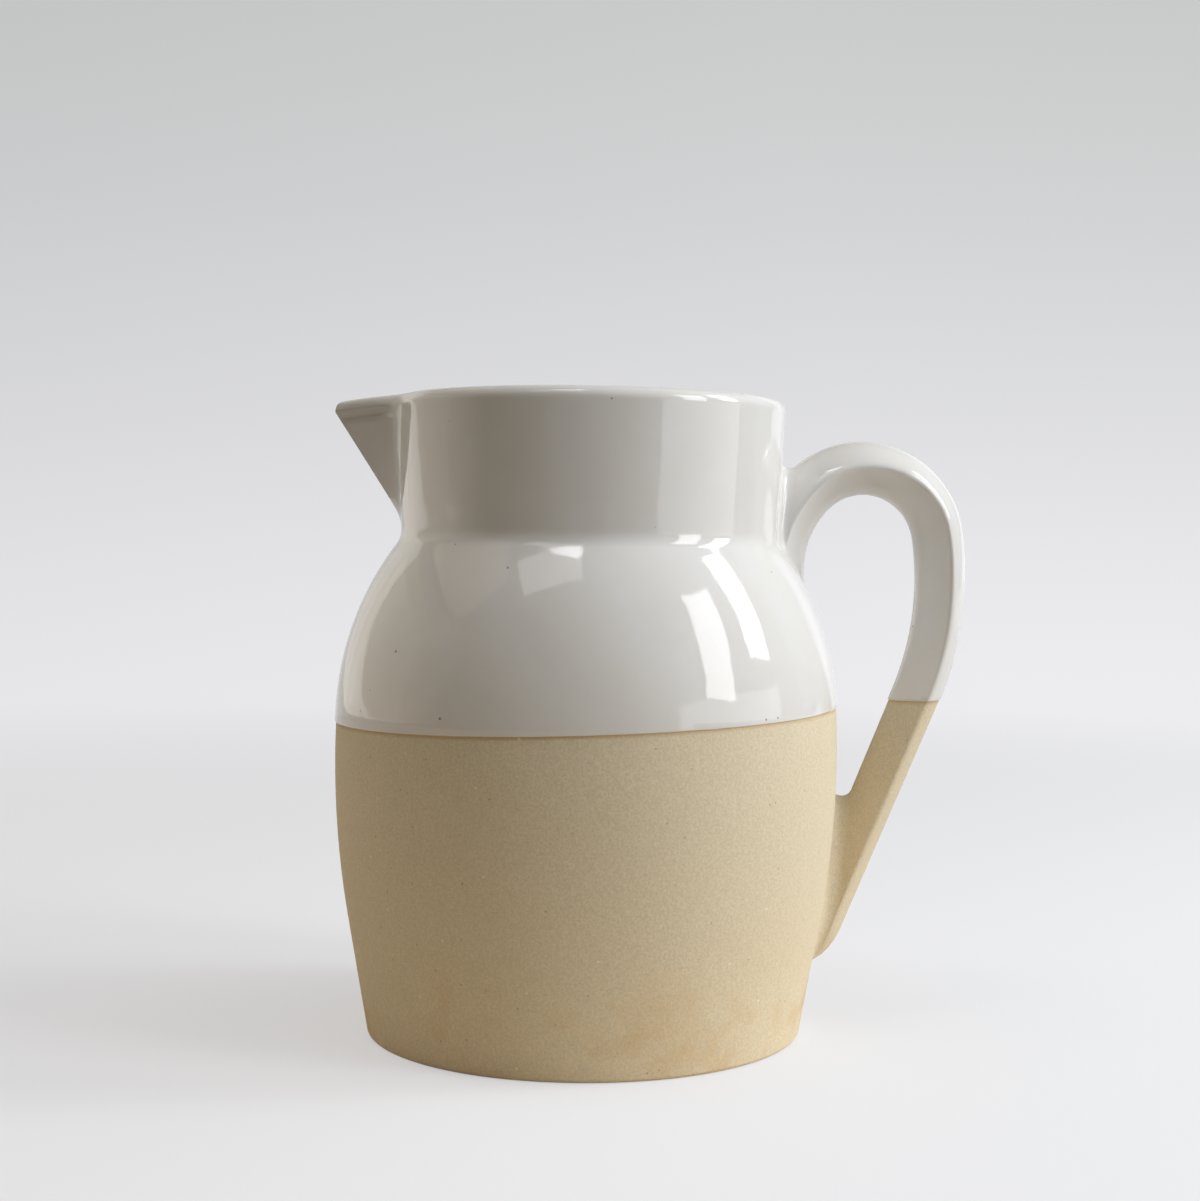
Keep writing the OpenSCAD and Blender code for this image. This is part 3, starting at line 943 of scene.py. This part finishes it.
def set_camera(scene, turn):
    """Sets the camera where the photograph was taken from."""
    yaw, pitch, roll = CAMERA_YAW, CAMERA_PITCH, CAMERA_ROLL
    ahead = Vector((sin(yaw) * cos(pitch), cos(yaw) * cos(pitch), -sin(pitch)))
    right = Vector((cos(yaw), -sin(yaw), 0))
    up = right.cross(ahead)
    right, up = cos(roll) * right + sin(roll) * up, cos(roll) * up - sin(roll) * right
    bpy.ops.object.camera_add(location=turn @ Vector(CAMERA_PLACE))
    camera = bpy.context.object
    camera.rotation_euler = Matrix([turn @ v for v in (right, up, -ahead)]).transposed().to_euler()
    camera.data.sensor_fit = "HORIZONTAL"
    camera.data.sensor_width = SENSOR_MM
    camera.data.lens = SENSOR_MM * FOCAL_LENGTH / PHOTO_W
    camera.data.shift_x = MIDDLE_SHIFT / PHOTO_W
    camera.data.clip_start = 0.01
    scene.camera = camera


def hang_lamps(turn):
    """Hangs the windows and walls round the jug, unseen by the camera."""
    for name, (azimuth, elevation, wide, high, roll, radiance, tint) in LAMPS.items():
        a, e = radians(azimuth), radians(elevation)
        towards = turn @ Vector((sin(a) * cos(e), -cos(a) * cos(e), sin(e)))
        far = LAMP_FAR + FURTHER_PER_DEGREE * wide
        bpy.ops.object.light_add(type="AREA", location=Vector(LAMP_AIM) + far * towards)
        lamp = bpy.context.object
        lamp.name = name
        facing = towards.to_track_quat("Z", "Y").to_matrix()
        lamp.rotation_euler = (facing @ Matrix.Rotation(radians(roll), 3, "Z")).to_euler()
        lamp.data.shape = "RECTANGLE"
        lamp.data.size = 2 * far * tan(radians(wide / 2))
        lamp.data.size_y = 2 * far * tan(radians(high / 2))
        lamp.data.color = from_hex(tint)[:3]
        lamp.data.energy = radiance * pi * lamp.data.size * lamp.data.size_y
        lamp.visible_camera = False
        lamp.visible_diffuse = name not in ONLY_MIRRORED
        lamp.visible_glossy = name not in NEVER_MIRRORED


def fill_room(scene):
    """A dim warm room, which the camera sees as pale grey where the sheet ends."""
    world = bpy.data.worlds.new("studio")
    world.use_nodes = True
    scene.world = world
    tree = world.node_tree
    tree.nodes.clear()
    room = add_node(tree, "Background", {"Color": from_hex("#F2E2CC"), "Strength": 0.02})
    shown = add_node(tree, "Background", {"Color": from_hex("#DCDCDE"), "Strength": 1.0})
    path = add_node(tree, "LightPath")
    both = add_node(tree, "MixShader", links={0: (path, "Is Camera Ray"), 1: (room, 0), 2: (shown, 0)})
    add_node(tree, "OutputWorld", links={"Surface": (both, 0)})


# Operators

class JUG_OT_clay_body(bpy.types.Operator):
    """Throw the clay body and pull its beak"""

    bl_idname = "jug.clay_body"
    bl_label = "Clay body"

    def execute(self, context):
        scene = context.scene
        s, b = scene.jug_body, scene.jug_beak
        m = wall_marks(s)
        foot = [(m.foot_r * part, 0) for part in FOOT_RINGS]
        side = side_line(s, m, 0, 0, s.foot_round_r)
        piece = throw("clay_body", foot + side + rim_line(s, m, 0) + inner_line(s, m, 0))
        pull_beak(piece, s, m, b, 0)
        clay = sanded_stoneware(scene.jug_finish, s)
        finish_piece(piece, clay, "stoneware", "body", "spout", "spout_luting")
        return {"FINISHED"}


# Share of the glaze's thickness that a coat fills, so that its inside stays clear of the clay
COAT_FILL = 0.9


class JUG_OT_body_coat(bpy.types.Operator):
    """Dip the body: one coat of glaze from the dip line over the beak and rim and down the inside"""

    bl_idname = "jug.body_coat"
    bl_label = "Glaze on the body"

    def execute(self, context):
        scene = context.scene
        s, b = scene.jug_body, scene.jug_beak
        m, t = wall_marks(s), s.glaze_t
        side = [p for p in side_line(s, m, t, 0, s.foot_round_r) if p[1] > s.dip_z - DIP_REACH]
        piece = throw("glaze_coat", side + rim_line(s, m, t) + inner_line(s, m, t))
        face_outwards(piece, (s.belly_r, 0, s.dip_z))
        pull_beak(piece, s, m, b, t)
        cut_at_dip(piece, s, s.belly_r - s.wall / 2)
        back_with_wall(piece, COAT_FILL * t)
        glaze = white_glaze(scene.jug_finish)
        finish_piece(piece, glaze, "glaze", "body_glaze", "liner_glaze", "spout_glaze")
        return {"FINISHED"}


class JUG_OT_strap_handle(bpy.types.Operator):
    """Pull the strap handle and smooth its root and tail on to the wall"""

    bl_idname = "jug.strap_handle"
    bl_label = "Strap handle"

    def execute(self, context):
        scene = context.scene
        s, h = scene.jug_body, scene.jug_handle
        piece = pull_rings("strap_handle", strap_rings(s, wall_marks(s), h, 0))
        select_edges(piece, lambda e: e.is_boundary)
        bpy.ops.mesh.edge_face_add()
        bpy.ops.mesh.select_all(action="SELECT")
        bpy.ops.mesh.normals_make_consistent(inside=False)
        bpy.ops.object.mode_set(mode="OBJECT")
        clay = sanded_stoneware(scene.jug_finish, s)
        finish_piece(piece, clay, "stoneware", "handle", "root_luting", "tail_luting")
        return {"FINISHED"}


class JUG_OT_handle_coat(bpy.types.Operator):
    """Glaze the handle above the dip line"""

    bl_idname = "jug.handle_coat"
    bl_label = "Glaze on the handle"

    def execute(self, context):
        scene = context.scene
        s, h = scene.jug_body, scene.jug_handle
        rings = strap_rings(s, wall_marks(s), h, s.glaze_t)
        # The skin goes on a little below the dip line, without the buried edge at the root
        below = [i for i, ring in enumerate(rings) if max(p.z for p in ring) < s.dip_z - 4 * MM]
        piece = pull_rings("handle_coat", rings[1 : below[0] + 1])
        bpy.ops.mesh.select_all(action="SELECT")
        bpy.ops.mesh.normals_make_consistent(inside=False)
        bpy.ops.object.mode_set(mode="OBJECT")
        face_outwards(piece, (s.belly_r + h.root_x, 0, h.root_z))
        cut_at_dip(piece, s)
        back_with_wall(piece, COAT_FILL * s.glaze_t)
        finish_piece(piece, white_glaze(scene.jug_finish), "glaze", "handle_glaze")
        return {"FINISHED"}


class JUG_OT_stage(bpy.types.Operator):
    """Set up the pale floor, the window light and the camera"""

    bl_idname = "jug.stage"
    bl_label = "Stage"

    def execute(self, context):
        scene = context.scene
        turn = Matrix.Rotation(-HANDLE_TURN, 3, "Z")
        start_fresh()
        lay_sheet(scene.jug_finish)
        set_camera(scene, turn)
        hang_lamps(turn)
        fill_room(scene)
        scene.view_settings.view_transform = "Standard"
        return {"FINISHED"}


class JUG_PT_panel(bpy.types.Panel):
    """Lists the jug's sizes, colours and pieces"""

    bl_idname = "JUG_PT_panel"
    bl_label = "Stoneware crock jug"
    bl_space_type = "VIEW_3D"
    bl_region_type = "UI"
    bl_category = "Jug"

    def draw(self, context):
        for key in GROUPS:
            group = getattr(context.scene, key)
            column = self.layout.column(align=True)
            for name in group.__annotations__:
                column.prop(group, name)
        for operator in OPERATORS:
            self.layout.operator(operator.bl_idname)


GROUPS = {
    "jug_body": JugBodySizes,
    "jug_beak": JugBeakSizes,
    "jug_handle": JugHandleSizes,
    "jug_finish": JugFinish,
}
OPERATORS = (JUG_OT_clay_body, JUG_OT_body_coat, JUG_OT_strap_handle, JUG_OT_handle_coat, JUG_OT_stage)


def register():
    """Makes the groups, operators and panel known to Blender."""
    for name, group in GROUPS.items():
        bpy.utils.register_class(group)
        setattr(bpy.types.Scene, name, PointerProperty(type=group))
    for cls in (*OPERATORS, JUG_PT_panel):
        bpy.utils.register_class(cls)


def unregister():
    """Takes them out again."""
    for cls in (JUG_PT_panel, *reversed(OPERATORS)):
        bpy.utils.unregister_class(cls)
    for name, group in GROUPS.items():
        delattr(bpy.types.Scene, name)
        bpy.utils.unregister_class(group)


def main():
    """Builds the jug piece by piece, then its stage."""
    register()
    bpy.ops.jug.clay_body()
    bpy.ops.jug.body_coat()
    bpy.ops.jug.strap_handle()
    bpy.ops.jug.handle_coat()
    bpy.ops.jug.stage()


if __name__ == "__main__":
    main()
